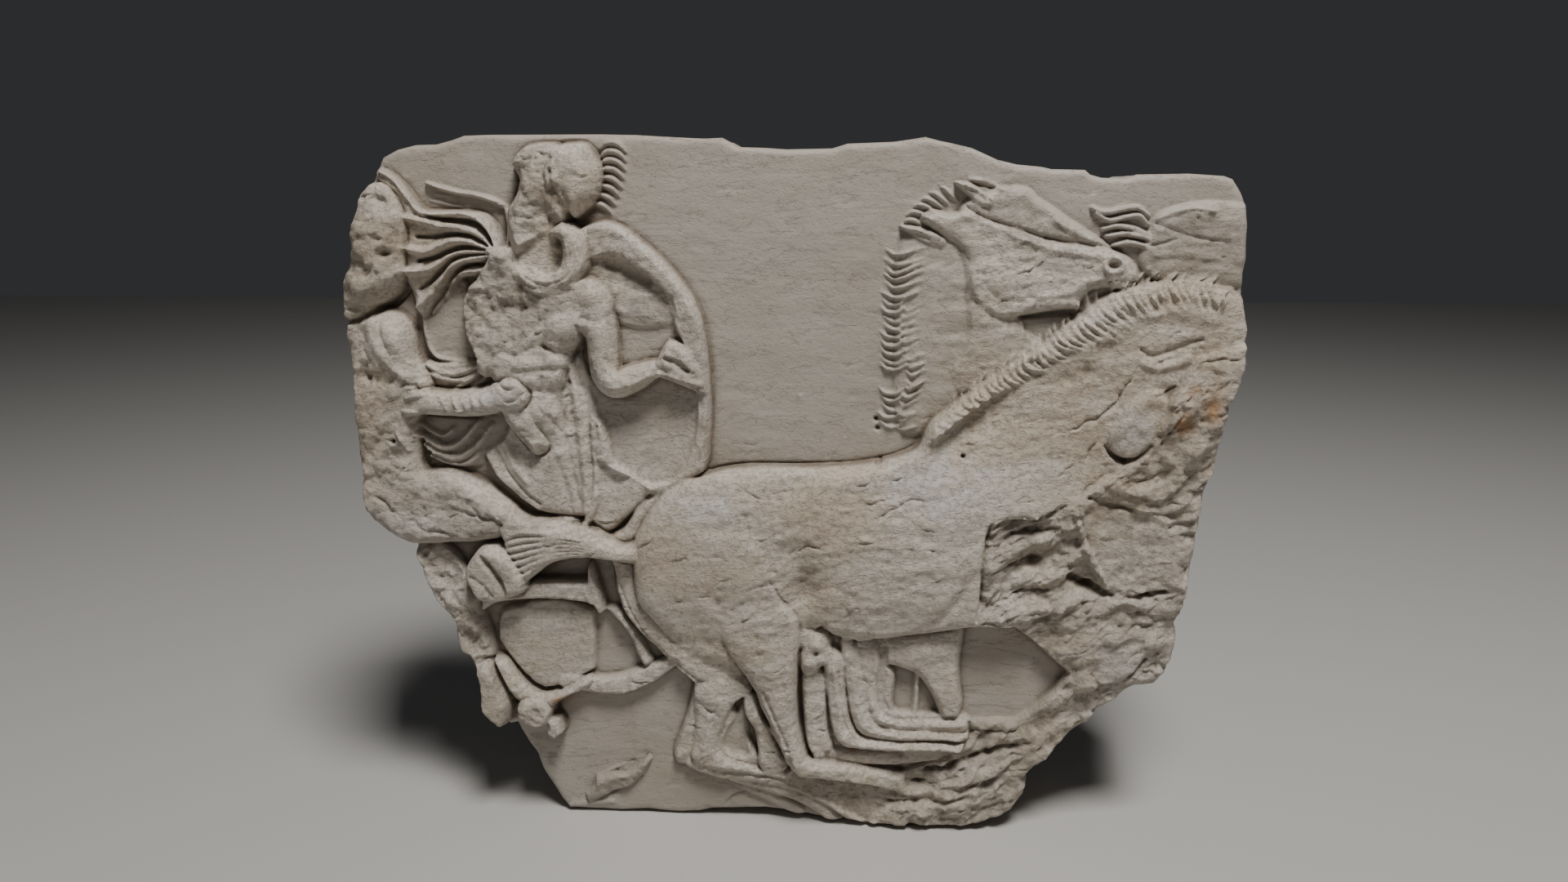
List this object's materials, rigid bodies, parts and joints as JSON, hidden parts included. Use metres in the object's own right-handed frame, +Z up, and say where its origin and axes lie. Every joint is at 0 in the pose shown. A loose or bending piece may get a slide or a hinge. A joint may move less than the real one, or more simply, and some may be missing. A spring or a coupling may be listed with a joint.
{
  "type": "marble relief plaque",
  "caption": "Broken rectangular frieze slab carved in relief with a horse team, a warrior with a round shield and a chariot, flat at the back.",
  "frame": {"origin": "middle of the flat back face that rests against the wall", "axes": "+X along the slab's length to the viewer's right, +Y out of the flat back into the wall, +Z up; the carved face looks along -Y"},
  "size_m": [1.219, 0.1983, 0.994],
  "materials": {
    "marble": "weathered matt"
  },
  "bodies": {
    "root": {"relief_slab": "marble"}
  },
  "joints": []
}
